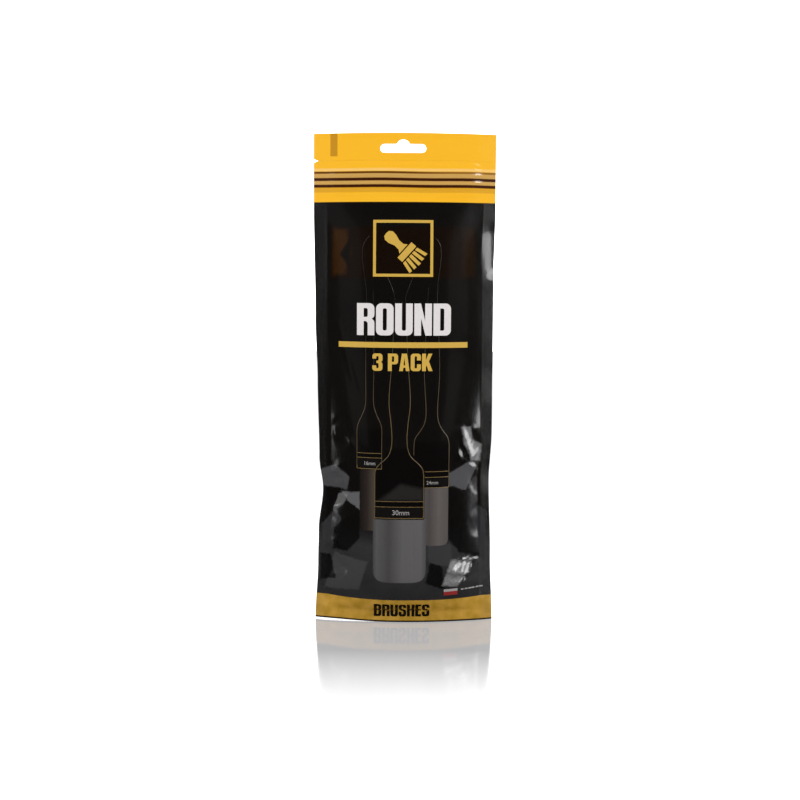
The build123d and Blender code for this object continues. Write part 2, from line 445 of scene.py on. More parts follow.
def rolled_edge(x, z):
    """The right side seal rolls back in places."""
    total = np.zeros_like(x)
    for low, high, back in ((231, 262, 4.6), (148, 168, 1.8), (86, 100, 2.6)):
        bell = smooth((z - low) / 12) * (1 - smooth((z - high) / 12))
        total += back * bell * smooth((x - 51.0) / 9.5)
    return total


def waves(x, z, seed, strength):
    """Slow unevenness of film that has been filled and handled."""
    chance = np.random.default_rng(seed)
    total = np.zeros_like(x)
    for _ in range(14):
        reach = chance.uniform(14, 48)
        angle = chance.uniform(0, math.pi)
        kx, kz = np.cos(angle) * 2 * math.pi / reach, np.sin(angle) * 2 * math.pi / reach * 0.6
        total += np.sin(kx * x + kz * z + chance.uniform(0, 6.28)) * reach / 48
    return total * strength / 14


def zip_ridges(x, z):
    """The zip's tracks and flange press through the film."""
    across = 1 - smooth((np.abs(x) - 40) / 16)
    tracks = sum(np.exp(-(((z - middle) / 0.9) ** 2)) for middle in ZIP_TRACKS)
    flange = smooth((z - 292.6) / 1.2) * (1 - smooth((z - 306.0) / 1.2))
    return (0.75 * tracks + 0.35 * flange) * (0.35 + 0.65 * across)


def film_y(x, z, side, film):
    """Outer surface of the front film (side -1) or the back film (side 1)."""
    seal = film.side_seal / MM
    between = gap(x, z, seal)
    share = 0.42 if side < 0 else 0.58
    loose = smooth((HALF - np.abs(x)) / 14) * smooth((z - 2) / 22) * (1 - 0.75 * smooth((z - 225) / 45))
    out = share * between + 0.33 + zip_ridges(x, z)
    folds, hollows = (FRONT_FOLDS, FRONT_DENTS) if side < 0 else (BACK_FOLDS, BACK_DENTS)
    lifted = np.zeros_like(x)
    for start, end, height, near, far in folds:
        lifted = np.maximum(lifted, fold(x, z, start, end, height, near, far))
    lifted += dents(x, z, hollows, 21 if side < 0 else 8) * smooth((z - 12) / 10)
    if side < 0:
        lifted += pocket(x, z)
    out = out + film.crumple * (lifted + loose * waves(x, z, 5 if side < 0 else 11, 1.3))
    out = np.maximum(out, 0.36)
    lean = 0.5 * np.sin((z - 40) / 34) * np.exp(-(((np.abs(x) - 56) / 7) ** 2))
    back = film.crumple * (lean * (1 - smooth((z - 250) / 30)) + rolled_edge(x, z))
    return seal_y(x) + side * out + back


def film_x(across, z):
    """Across is -1 at the left edge and 1 at the right edge."""
    left, right = left_edge(z), right_edge(z)
    return left + (right - left) * (across + 1) / 2


# ---------------------------------------------------------------- meshes


def coordinates(mesh):
    flat = np.empty(len(mesh.vertices) * 3, np.float32)
    mesh.vertices.foreach_get("co", flat)
    return flat.reshape(-1, 3).astype(float)


def move_to(mesh, places):
    mesh.vertices.foreach_set("co", places.astype(np.float32).ravel())
    mesh.update()


def new_object(name, mesh):
    made = bpy.data.objects.new(name, mesh)
    bpy.context.scene.collection.objects.link(made)
    return made


def from_bmesh(name, bm):
    """A smoothly shaded object from a bmesh, which is used up."""
    mesh = bpy.data.meshes.new(name)
    bm.to_mesh(mesh)
    bm.free()
    mesh.shade_smooth()
    return new_object(name, mesh)


def baked(obj):
    """The object as it is seen, modifiers and text included, as one mesh object in its place."""
    bpy.context.view_layer.update()
    graph = bpy.context.evaluated_depsgraph_get()
    mesh = bpy.data.meshes.new_from_object(obj.evaluated_get(graph))
    name = obj.name
    bpy.data.objects.remove(obj)
    mesh.name = name
    return new_object(name, mesh)


def flat_uv(mesh, x, z):
    """Keeps each vertex's place on the flat film, in millimetres, as a UV map."""
    layer = mesh.uv_layers.get("flat") or mesh.uv_layers.new(name="flat")
    loops = np.empty(len(mesh.loops), np.int32)
    mesh.loops.foreach_get("vertex_index", loops)
    uv = np.stack([x / POUCH_TOP + 0.5, z / POUCH_TOP], axis=1)[loops]
    layer.data.foreach_set("uv", uv.astype(np.float32).ravel())


def thicken(obj, thickness):
    """Gives the film its thickness on the inner side, with crisp cut edges."""
    made = obj.modifiers.new("Film", "SOLIDIFY")
    made.thickness = thickness
    made.offset = -1
    made.use_even_offset = False
    solid = baked(obj)
    solid.data.set_sharp_from_angle(angle=CREASE)
    return solid


def opening_share(x, z):
    """How far a point follows the lip as the mouth opens: most in the middle of the zip."""
    return smooth((z - FOLD) / OPENING_REACH) * smooth((LIP_HALF - np.abs(x)) / OPENING_MARGIN)


def follow_lip(obj, side):
    """Bakes the piece's placement into its mesh and reckons how far each point would follow the lip; the piece is not
    moved.
    """
    body = "front_lip" if side < 0 else "back_lip"
    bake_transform(obj)
    places = coordinates(obj.data) / MM
    share = opening_share(places[:, 0], places[:, 2])
    return obj


def film_sheet(name, side, low, high, size, film):
    """One film as a grid, laid on the filled pouch's shape."""
    rows = round((high - low) * MM / size)
    columns = round(2 * HALF * MM / size)
    bm = bmesh.new()
    bmesh.ops.create_grid(bm, x_segments=columns, y_segments=rows, size=1.0)
    obj = from_bmesh(name, bm)
    grid = coordinates(obj.data)
    z = low + (grid[:, 1] + 1) / 2 * (high - low)
    x = film_x(grid[:, 0], z)
    y = film_y(x, z, side, film)
    flat_uv(obj.data, x, z)
    z = z + 0.9 * smooth(-(x + 8) / 50) * (1 - smooth(z / 40))
    move_to(obj.data, np.stack([x, y, z], axis=1) * MM)
    if side > 0:
        obj.data.flip_normals()
    return thicken(obj, film.thickness)


ACROSS, UP = Vector((1, 0, 0)), Vector((0, 0, 1))


def slice_at(bm, normal, places):
    """Cuts every face along the planes that stand at these places on an axis."""
    for place in places:
        geometry = bm.verts[:] + bm.edges[:] + bm.faces[:]
        bmesh.ops.bisect_plane(bm, geom=geometry, plane_co=normal * place, plane_no=normal)


def cut_fine(mesh, step):
    """Cuts a flat mesh in the XZ plane along a grid, so that it can follow the film."""
    bm = bmesh.new()
    bm.from_mesh(mesh)
    for axis, normal in ((0, ACROSS), (2, UP)):
        values = [v.co[axis] for v in bm.verts]
        numbers = range(math.ceil(min(values) / step), math.floor(max(values) / step) + 1)
        slice_at(bm, normal, [k * step for k in numbers])
    bm.to_mesh(mesh)
    bm.free()


def hold_print(obj, top):
    """Print rides the pouch, or, where it reaches above the fold, only has its placement baked into its mesh."""
    if top > FOLD:
        follow_lip(obj, -1)
    else:
        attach(obj, "pouch")


def lay_ink(obj, film, ink, lift=1.0):
    """Lays a flat printed shape on the front film."""
    cut_fine(obj.data, INK_MESH)
    places = coordinates(obj.data) / MM
    x, z = places[:, 0], places[:, 2]
    y = film_y(x, z, -1, film) - ink.ink_lift / MM * lift
    flat_uv(obj.data, x, z)
    move_to(obj.data, np.stack([x, y, z], axis=1) * MM)
    hold_print(obj, z.max())


def flat_curve(name, outlines):
    """A flat filled curve in the XZ plane from closed outlines in millimetres."""
    data = bpy.data.curves.new(name, "CURVE")
    data.dimensions = "2D"
    data.fill_mode = "BOTH"
    for outline in outlines:
        spline = data.splines.new("POLY")
        spline.points.add(len(outline) - 1)
        for point, (x, z) in zip(spline.points, outline):
            point.co = (x * MM, z * MM, 0, 1)
        spline.use_cyclic_u = True
    made = baked(new_object(name, data))
    made.data.transform(Matrix.Rotation(math.pi / 2, 4, "X"))
    return made


def rectangle(x0, z0, x1, z1):
    return [(x0, z0), (x1, z0), (x1, z1), (x0, z1)]


def turn(cx, cz, radius, start, end, steps=5):
    """Points of an arc, in degrees."""
    angles = [math.radians(start + (end - start) * k / steps) for k in range(steps + 1)]
    return [(cx + radius * math.cos(a), cz + radius * math.sin(a)) for a in angles]


def block(x0, z0, x1, z1, low_left, low_right, high_right, high_left):
    """A rectangle whose four corners each have their own radius."""
    return (
        turn(x0 + low_left, z0 + low_left, low_left, 180, 270)
        + turn(x1 - low_right, z0 + low_right, low_right, 270, 360)
        + turn(x1 - high_right, z1 - high_right, high_right, 0, 90)
        + turn(x0 + high_left, z1 - high_left, high_left, 90, 180)
    )


WIDE, STEM, BAR, ROUND, INNER = 0.55, 0.212, 0.155, 0.165, 0.05


def block_letters():
    """Heavy narrow capitals as outlines on a height of 1: letter, width, outlines."""
    w, s, t, r, i = WIDE, STEM, BAR, ROUND, INNER
    top, far = 1 - t, w - s
    high_right, low_right = turn(w - r, 1 - r, r, 90, 0), turn(w - r, r, r, 0, -90)
    high_left, low_left = turn(r, 1 - r, r, 180, 90), turn(r, r, r, -90, -180)
    in_high_right, in_low_right = turn(far - i, top - i, i, 90, 0), turn(far - i, t + i, i, 0, -90)
    in_high_left, in_low_left = turn(s + i, top - i, i, 180, 90), turn(s + i, t + i, i, -90, -180)
    waist = [(w, 0.65), (w - 0.015, 0.575), (w - 0.085, 0.515), (w - 0.015, 0.455), (w, 0.38)]
    letters = {
        "O": [block(0, 0, w, 1, r, r, r, r), block(s, t, far, top, i, i, i, i)],
        "D": [[(0, 0), (0, 1)] + high_right + low_right, block(s, t, far, top, 0.001, i, i, 0.001)],
        "U": [[(0, 1), (s, 1)] + in_low_left[::-1] + in_low_right[::-1] + [(far, 1), (w, 1)] + low_right + low_left],
        "N": [[(0, 0), (0, 1), (0.205, 1), (far, 0.46), (far, 1), (w, 1), (w, 0), (w - 0.2, 0), (s, 0.54), (s, 0)]],
        "R": [
            [(0, 0), (0, 1)] + high_right + waist
            + [(w, 0), (far, 0), (far, 0.385), (far - 0.05, 0.44), (s, 0.44), (s, 0)],
            block(s, 0.57, far, top, 0.001, i, i, 0.001),
        ],
        "B": [
            [(0, 0), (0, 1)] + high_right + waist + low_right,
            block(s, 0.575, far, top, 0.001, i, i, 0.001),
            block(s, t, far, 0.455, 0.001, i, i, 0.001),
        ],
        "P": [
            [(0, 0), (0, 1)] + high_right + turn(w - r, 0.385 + r, r, 0, -90) + [(s, 0.385), (s, 0)],
            block(s, 0.525, far, top, 0.001, i, i, 0.001),
        ],
        "A": [
            [(0, 0), (0.145, 1), (0.415, 1), (0.56, 0), (0.36, 0), (0.338, 0.19), (0.222, 0.19), (0.2, 0)],
            [(0.238, 0.33), (0.322, 0.33), (0.28, 0.80)],
        ],
        "C": [
            [(far, 0.61), (w, 0.61)] + high_right[::-1] + high_left[::-1] + low_left[::-1] + low_right[::-1]
            + [(w, 0.39), (far, 0.39)] + in_low_right + in_low_left + in_high_left + in_high_right
        ],
        "K": [
            [(0, 0), (0, 1), (s, 1), (s, 0.63), (0.345, 1), (0.555, 1), (0.375, 0.55), (0.575, 0),
             (0.355, 0), (0.245, 0.335), (s, 0.24), (s, 0)]
        ],
        "S": [
            [(far, 0.68), (w, 0.68)] + high_right[::-1] + high_left[::-1]
            + [(0, 0.64), (0.03, 0.55), (0.12, 0.475), (0.30, 0.385), (0.345, 0.345), (far, 0.30)]
            + in_low_right + in_low_left + [(s, 0.33), (0, 0.33)] + low_left[::-1] + low_right[::-1]
            + [(w, 0.37), (w - 0.03, 0.455), (w - 0.12, 0.53), (0.25, 0.615), (0.205, 0.655), (s, 0.70)]
            + in_high_left + in_high_right
        ],
        "H": [
            [(0, 0), (0, 1), (s, 1), (s, 0.585), (far, 0.585), (far, 1)]
            + [(w, 1), (w, 0), (far, 0), (far, 0.435), (s, 0.435), (s, 0)]
        ],
        "E": [
            [(0, 0), (0, 1), (0.43, 1), (0.43, top), (s, top), (s, 0.585), (0.405, 0.585), (0.405, 0.44)]
            + [(s, 0.44), (s, t), (0.43, t), (0.43, 0)]
        ],
        "3": [
            [(0, 0.70)] + high_left + high_right + waist + low_right + low_left + [(0, 0.31), (s, 0.31)]
            + in_low_left[::-1] + in_low_right[::-1] + [(far, 0.41), (far - 0.05, 0.445), (0.22, 0.445), (0.22, 0.585)]
            + [(far - 0.05, 0.585), (far, 0.62)] + in_high_right[::-1] + in_high_left[::-1] + [(s, 0.70)]
        ],
        " ": [],
    }  # fmt: skip
    widths = {"E": 0.43, "A": 0.56, "K": 0.575, " ": 0.17}
    return {letter: (widths.get(letter, w), outlines) for letter, outlines in letters.items()}


def lettering(name, words, box, gap=0.05):
    """Block capitals that fill a box (x0, z0, x1, z1) in millimetres."""
    letters = block_letters()
    x0, z0, x1, z1 = box
    total = sum(letters[c][0] for c in words) + gap * (len(words) - 1)
    wide, high, at = (x1 - x0) / total, z1 - z0, 0.0
    outlines = []
    for c in words:
        width, shapes = letters[c]
        outlines += [[(x0 + (at + x) * wide, z0 + z * high) for x, z in shape] for shape in shapes]
        at += width + gap
    return flat_curve(name, outlines)


def small_figures(name, words, box):
    """Plain small figures that fill a box (x0, z0, x1, z1) in millimetres."""
    data = bpy.data.curves.new(name, "FONT")
    data.body = words
    data.offset = 0.012
    obj = baked(new_object(name, data))
    obj.data.transform(Matrix.Rotation(math.pi / 2, 4, "X"))
    places = coordinates(obj.data)
    low, high = places.min(0), places.max(0)
    x0, z0, x1, z1 = box
    places[:, 0] = (x0 + (places[:, 0] - low[0]) / (high[0] - low[0]) * (x1 - x0)) * MM
    places[:, 2] = (z0 + (places[:, 2] - low[2]) / (high[2] - low[2]) * (z1 - z0)) * MM
    move_to(obj.data, places)
    return obj


def inked_line(name, runs, width):
    """Thin printed lines through (x, z) points in millimetres, slightly raised."""
    data = bpy.data.curves.new(name, "CURVE")
    data.dimensions = "3D"
    data.bevel_depth = width / 2
    data.bevel_resolution = 1
    data.use_fill_caps = True
    for points in runs:
        spline = data.splines.new("NURBS")
        spline.points.add(len(points) - 1)
        for point, (x, z) in zip(spline.points, points):
            point.co = (x * MM, 0, z * MM, 1)
        spline.use_endpoint_u = True
        spline.order_u = 3
        spline.resolution_u = 8
    return baked(new_object(name, data))


def lay_line(obj, film, ink):
    """Flattens a thin line against the film."""
    places = coordinates(obj.data) / MM
    x, z, high = places[:, 0], places[:, 2], places[:, 1]
    y = film_y(x, z, -1, film) - ink.ink_lift / MM * 0.15 + high * 0.35
    move_to(obj.data, np.stack([x, y, z], axis=1) * MM)
    obj.data.shade_smooth()
    hold_print(obj, z.max())


# ---------------------------------------------------------------- materials


def film_yellow():
    """Height where the yellow print begins, in millimetres."""
    return bpy.context.scene.pouch_film.yellow_from / MM


def film_gloss(graph, vector, across, up):
    """Roughness and relief of the laminate: fine texture all over, and a knurl pressed into the seals."""
    soft = graph.noise(vector, 0.22, 4.0, 0.6)
    roughness = soft * 0.10 + 0.13
    seal = abs(across).above(52.4, 0.8) * (1 - up.above(film_yellow(), 1.0) * 0.85)
    knurl = ((across * 5.2).sine() * (up * 5.2).sine()).above(0.15, 0.7)
    relief = graph.bump(knurl * seal, 0.00013, 0.8)
    grain = graph.noise(vector, 1.6, 3.0, 0.55)
    relief = graph.bump(grain, 0.00016, 0.30, relief)
    return roughness + seal * 0.06, relief


def zip_shade_and_highlights(graph, colour_so_far, up, across):
    """Dark lines of painted shade and pale bands of painted highlight where the zip presses through the yellow print.
    """
    wobble = (across * 0.11).sine() * 0.12 + (across * 0.047 + 1.0).sine() * 0.12
    level = up + wobble
    # pale: painted highlight on the zip's ridges between the lines; light: a brighter painted highlight above the top
    # line; shade: painted shade below the lowest line
    pale = level.between(294.6, 303.6, 0.6)
    made = graph.mix(pale * 0.96, colour_so_far, (0.60, 0.35, 0.092))
    light = level.between(304.9, 306.7, 0.9)
    made = graph.mix(light * 0.75, made, (0.93, 0.60, 0.19))
    shade = level.between(290.9, 294.3, 0.7)
    made = graph.mix(shade * 0.85, made, (0.70, 0.345, 0.015))
    # The three dark lines are painted shade in the grooves between the ridges, the top one lighter towards the right
    first = graph.mix(across.above(18.0, 30.0), (0.13, 0.040, 0.001), (0.30, 0.13, 0.014))
    for middle, width, tone in ((304.0, 1.45, first), (299.5, 2.0, None), (295.1, 2.0, None)):
        line = level.between(middle - width / 2, middle + width / 2, 0.5)
        made = graph.mix(line, made, tone or (0.050, 0.0080, 0.0003))
    return made


def tuft_print(graph, across, up, shape, ground, tones, streaks):
    """A printed tuft: soft round end, shade that changes across it, faint strands."""
    middle, half, low, high, end = shape
    place = (across - middle) / half
    drop = ((low + end) - up).most(0.0) / end
    inside = 1 - ((abs(place) ** 5.0) + (drop ** 2.4)).above(1.0, 0.16)
    inside = inside * (1 - up.above(high, 0.6))
    ramp = graph.node("ShaderNodeValToRGB", {"stops": tones}, {0: place * 0.5 + 0.5})
    shaded = graph.mix(streaks * 0.20, ramp, (0.02, 0.019, 0.019))
    return graph.mix(inside, ground, shaded)


def yellow_print(graph, film, vector):
    return graph.mix(graph.noise(vector, 0.02), film.yellow, (0.95, 0.465, 0.012))


def top_and_bottom(graph, film, ground, vector, across, up):
    """Adds the yellow top with the zip's lines of painted shade and highlight, and the band along the bottom with its
    spots of painted highlight.
    """
    top = zip_shade_and_highlights(graph, yellow_print(graph, film, vector), up, across)
    made = graph.mix(up.above(film.yellow_from / MM, 0.5), ground, top)
    # The lighter ochre spots are painted highlights on the wrinkled bottom seal
    mottle_and_sheen = graph.noise(vector, 0.13, 2.0, 0.4)
    ochre = graph.mix(mottle_and_sheen.above(0.52, 0.35), film.ochre, (0.66, 0.37, 0.060))
    return graph.mix(1 - up.above(film.band_top / MM, 0.5), made, ochre)


def laminated(graph, base, vector, across, up):
    """The glossy laminate over a print."""
    roughness, relief = film_gloss(graph, vector, across, up)
    return graph.finish(Base_Color=base, Roughness=roughness, Normal=relief, Coat_Weight=0.4, Coat_Roughness=0.06)


def painted_reflections(graph, ground, x, z, across, up):
    """Painted reflections behind the frame: a faint brown panel, brighter brown patches at each side and a dark wedge
    at the left.
    """
    # Painted reflection of a dim brown panel in front of the pouch, brighter at the sides, with a dark wedge in the
    # left patch
    reflected_panel = across.between(-50, 47.3, 1.2) * up.between(234, 268, 1.2)
    ground = graph.mix(reflected_panel * 0.9, ground, (0.0085, 0.0036, 0.0016))
    left = graph.patch(x, z, [(-48, 236), (-40, 237), (-36.5, 252), (-39, 266), (-48, 267)], 3.0)
    right = graph.patch(x, z, [(38, 236), (46.5, 236), (46.5, 267), (39, 266)], 3.0)
    ground = graph.mix(left, ground, (0.031, 0.0108, 0.0010))
    ground = graph.mix(right * 0.8, ground, (0.016, 0.0064, 0.0010))
    arrow = graph.patch(across, up, [(-43.5, 250), (-37, 241), (-36, 262)], 1.4)
    return graph.mix(arrow, ground, (0.0045, 0.0030, 0.0020))


def slate_print_and_highlights(graph, ground, vector, x, z):
    """Grey slate along the bottom and broken rocks above it, and three painted highlights where the film is crumpled
    at the right.
    """
    floor = (1 - z.above(62, 14.0)) * 0.9
    floor_tone = graph.mix(graph.noise(vector, 0.045, 4.0, 0.6), (0.013, 0.013, 0.014), (0.048, 0.047, 0.049))
    ground = graph.mix(floor, ground, floor_tone)
    greys = (
        ([(-57, 93), (-38, 92), (-35, 112), (-46, 108), (-58, 117)], (0.060, 0.060, 0.063)),
        ([(-46, 90), (-37, 84), (-29, 74), (-29.5, 91)], (0.105, 0.105, 0.108)),
        ([(-55, 56), (-48, 52), (-42, 72), (-46, 78), (-56, 66)], (0.030, 0.030, 0.032)),
        ([(30, 96), (42, 92), (50, 108), (46, 112), (30, 104)], (0.075, 0.075, 0.080)),
        ([(41, 60), (56, 40), (57, 76), (46, 84)], (0.022, 0.022, 0.024)),
        ([(-54, 22), (-30, 24), (-24, 44), (-47, 48)], (0.050, 0.049, 0.051)),
        ([(17, 44), (34, 40), (32, 56), (16, 58)], (0.040, 0.040, 0.042)),
    )
    for corners, tone in greys:
        ground = graph.mix(graph.patch(x, z, corners, 1.2), ground, tone)
    darks = (
        [(-48, 50), (-38, 50), (-29.5, 60), (-30, 82), (-38, 74), (-47, 70)],
        [(-57, 74), (-49, 77), (-43, 90), (-54, 92), (-57, 84)],
        [(-57, 27), (-46, 30), (-50, 46), (-57, 46)],
        [(30, 60), (38, 50), (41, 74), (36, 92), (30, 94)],
        [(15, 30), (28, 25), (26, 42), (18, 44)],
        [(37, 50), (52, 45), (47, 70), (41, 84)],
        [(33, 110), (47, 116), (44, 126), (36, 124)],
    )
    for corners in darks:
        ground = graph.mix(graph.patch(x, z, corners, 1.2) * 0.93, ground, (0.0040, 0.0036, 0.0034))
    # Painted highlights on the crumpled film at the right flank and the lower right corner, broken up by noise; shade
    # is their mask
    broken = graph.noise(vector, 0.28, 3.0, 0.6).above(0.50, 0.30)
    for corners, tone in (
        ([(40.5, 123), (46, 122), (45.5, 135), (39, 135)], (0.20, 0.195, 0.20)),
        ([(46, 111.5), (52, 110.5), (53, 122), (46, 126), (40.5, 125)], (0.22, 0.215, 0.22)),
        ([(26.3, 28.2), (40.2, 25.6), (44.3, 35.4), (51.4, 43.8), (32.3, 45)], (0.24, 0.235, 0.235)),
    ):
        shade = graph.patch(x, z, corners, 1.4) * (broken * 0.45 + 0.5)
        ground = graph.mix(shade, ground, tone)
    return ground


def brush_print(graph, ground, vector, across, up):
    """The brushes' tufts and the black of their bodies, the middle one in front, with a painted reflection on the
    middle body.
    """
    stretched = graph.node("ShaderNodeMapping", {}, {"Vector": vector, "Scale": (1.3, 0.03, 1.0)})
    strands = graph.noise(stretched, 1.0, 4.0)
    tufts = (
        ((-23.8, 5.6, 65.5, 107.5, 3.5), (
            (0.0, (0.010, 0.0075, 0.0065)), (0.45, (0.026, 0.019, 0.016)), (1.0, (0.085, 0.066, 0.046)))),
        ((21.9, 8.1, 55.5, 95.0, 5.0), (
            (0.0, (0.088, 0.080, 0.076)), (0.2, (0.074, 0.065, 0.062)), (0.6, (0.125, 0.108, 0.104)),
            (1.0, (0.098, 0.089, 0.084)))),
        ((-2.6, 17.8, 30.4, 74.0, 9.5), (
            (0.0, (0.065, 0.062, 0.063)), (0.07, (0.100, 0.096, 0.098)), (0.30, (0.068, 0.065, 0.066)),
            (0.55, (0.122, 0.117, 0.120)), (0.9, (0.126, 0.120, 0.124)), (1.0, (0.080, 0.077, 0.079)))),
    )  # fmt: skip
    bodies = (
        [(-31.4, 107), (-14.9, 107), (-14.9, 134), (-31.4, 134)],
        [(6.8, 95), (30.1, 95), (30.1, 126), (6.8, 126)],
        [(-19.2, 73.5), (13.6, 73.5), (13.6, 107), (3.0, 121), (-9.5, 121), (-19.2, 107)],
    )
    for (shape, tones), body in zip(tufts, bodies):
        ground = tuft_print(graph, across, up, shape, ground, tones, strands)
        ground = graph.mix(graph.patch(across, up, body, 0.6), ground, (0.0034, 0.0029, 0.0027))
    # glow: a painted reflection on the lower part of the middle brush's body
    glow = graph.patch(across, up, [(-16, 86.5), (13, 86.5), (13.2, 94), (-2, 97.5)], 3.0)
    ground = graph.mix(glow * 0.8, ground, (0.024, 0.022, 0.020))
    for x0, z0, x1, z1 in ((-18.6, 74.9, 13.2, 81.6), (-30.9, 108.2, -15.3, 114.2), (14.4, 96.0, 29.6, 101.2)):
        label = across.between(x0, x1, 0.4) * up.between(z0, z1, 0.4)
        ground = graph.mix(label * 0.9, ground, (0.0075, 0.0066, 0.0060))
    return ground


def printed_front(film):
    """The front film's print: ground, painted reflections, rocks, painted highlights, brushes, yellow top with the
    zip's painted shade and highlights, bottom band and a painted shadow along the bottom edge.
    """
    graph = Graph("printed_front")
    vector, across, up = graph.flat()
    rough_edge = graph.noise(vector, 0.30, 2.0) - 0.5
    x, z = across + rough_edge * 2.2, up + rough_edge * 2.2
    ground = graph.mix(graph.noise(vector, 0.05), film.black, (0.0062, 0.0052, 0.0046))

    ground = painted_reflections(graph, ground, x, z, across, up)
    ground = slate_print_and_highlights(graph, ground, vector, x, z)
    ground = brush_print(graph, ground, vector, across, up)
    made = top_and_bottom(graph, film, ground, vector, across, up)
    # A painted shadow along the very bottom edge, where the pouch meets the floor
    made = graph.mix(1 - up.above(1.1, 0.5), made, (0.012, 0.010, 0.006))
    return laminated(graph, made, vector, across, up)


def printed_back(film):
    """The back film's print: plain black between the yellow top and the bottom band."""
    graph = Graph("printed_back")
    vector, across, up = graph.flat()
    ground = graph.mix(graph.noise(vector, 0.05), film.black, (0.0075, 0.0065, 0.0058))
    made = top_and_bottom(graph, film, ground, vector, across, up)
    return laminated(graph, made, vector, across, up)


def printed_header(film, with_mark):
    """Yellow header, with the small registration mark near its left end."""
    graph = Graph("printed_header" if with_mark else "printed_header_back")
    vector, across, up = graph.flat()
    yellow = yellow_print(graph, film, vector)
    if with_mark:
        mark = across.between(-50.2, -45.4, 0.4) * up.between(314.8, 329.9, 0.4)
        yellow = graph.mix(mark * 0.9, yellow, (0.52, 0.235, 0.008))
    return laminated(graph, yellow, vector, across, up)


def ink(name, base, roughness=0.3, metallic=0.0):
    """Printed ink under the laminate, slightly uneven."""
    graph = Graph(name)
    vector, *_ = graph.place()
    mottle_and_sheen = graph.noise(vector, 900.0, 3.0)
    made = graph.mix(mottle_and_sheen, tuple(c * 0.88 for c in base), base)
    return graph.finish(Base_Color=made, Roughness=roughness, Metallic=metallic, Coat_Weight=0.5, Coat_Roughness=0.08)


def fading_ink(name, base, strength):
    """Outline ink that is printed fainter towards the top of the pouch."""
    graph = Graph(name)
    vector, _, _, z = graph.place()
    fade = z.above(0.176, 0.055)
    mottle_and_sheen = graph.noise(vector, 500.0, 3.0)
    full = tuple(c * strength for c in base)
    made = graph.mix(mottle_and_sheen, tuple(c * 0.8 for c in full), full)
    made = graph.mix(fade, made, tuple(c * 0.09 + 0.003 for c in full))
    return graph.finish(Base_Color=made, Roughness=0.35, Metallic=0.1, Coat_Weight=0.4, Coat_Roughness=0.08)


def moulded_plastic(name, base, roughness, grain, depth):
    """Moulded plastic with a fine surface grain and a trace of handling."""
    graph = Graph(name)
    vector, *_ = graph.place()
    cloud = graph.noise(vector, 60.0, 4.0)
    speck = graph.noise(vector, grain, 2.0)
    lighter = tuple(min(1.0, c * 1.5 + 0.004) for c in base)
    made = graph.mix(cloud, base, lighter)
    relief = graph.bump(speck, depth, 0.4)
    return graph.finish(Base_Color=made, Roughness=cloud * 0.15 + roughness, Normal=relief)


def satin_brass():
    graph = Graph("ring_brass")
    vector, *_ = graph.place()
    stretched = graph.node("ShaderNodeMapping", {}, {"Vector": vector, "Scale": (300.0, 300.0, 6000.0)})
    lines = graph.noise(stretched, 1.0, 3.0)
    made = graph.mix(lines, (0.62, 0.42, 0.15), (0.80, 0.60, 0.27))
    relief = graph.bump(lines, 0.00004, 0.5)
    return graph.finish(Base_Color=made, Metallic=1.0, Roughness=lines * 0.12 + 0.26, Normal=relief)


def bristle_fibre(brush):
    graph = Graph("bristle_fibre")
    vector, *_ = graph.place()
    stretched = graph.node("ShaderNodeMapping", {}, {"Vector": vector, "Scale": (2500.0, 2500.0, 120.0)})
    streak = graph.noise(stretched, 1.0, 3.0)
    base = tuple(brush.bristle_colour)
    made = graph.mix(streak, tuple(c * 0.55 for c in base), tuple(min(1, c * 1.5) for c in base))
    return graph.finish(Base_Color=made, Roughness=0.48)


def cast_resin():
    graph = Graph("cast_resin")
    vector, *_ = graph.place()
    cloud = graph.noise(vector, 220.0, 4.0)
    made = graph.mix(cloud, (0.30, 0.19, 0.07), (0.55, 0.40, 0.18))
    relief = graph.bump(cloud, 0.0003, 0.4)
    return graph.finish(Base_Color=made, Roughness=cloud * 0.2 + 0.15, Normal=relief)


def paint(obj, material):
    obj.data.materials.clear()
    obj.data.materials.append(material)
    return obj


# ---------------------------------------------------------------- operators


class PouchOperator:
    """Shared words of the operators."""

    bl_options = {"REGISTER", "UNDO"}

    def settings(self, context):
        scene = context.scene
        return scene.pouch_film, scene.pouch_print, scene.pouch_brushes, scene.pouch_stage


class POUCH_OT_films(PouchOperator, bpy.types.Operator):
    """Lay the front and back films on the filled pouch"""

    bl_idname = "pouch.films"
    bl_label = "Films"

    def execute(self, context):
        film, *_ = self.settings(context)
        top = TEAR - TEAR_GAP
        front = film_sheet("front_film", -1, 0.0, top, film.mesh_size, film)
        back = film_sheet("back_film", 1, 0.0, top, film.back_mesh_size, film)
        paint(front, printed_front(film))
        paint(back, printed_back(film))
        for obj, side, word in ((front, -1, "front"), (back, 1, "back")):
            follow_lip(obj, side)
            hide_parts(f"{word}_panel", f"{word}_lip")
        return {"FINISHED"}


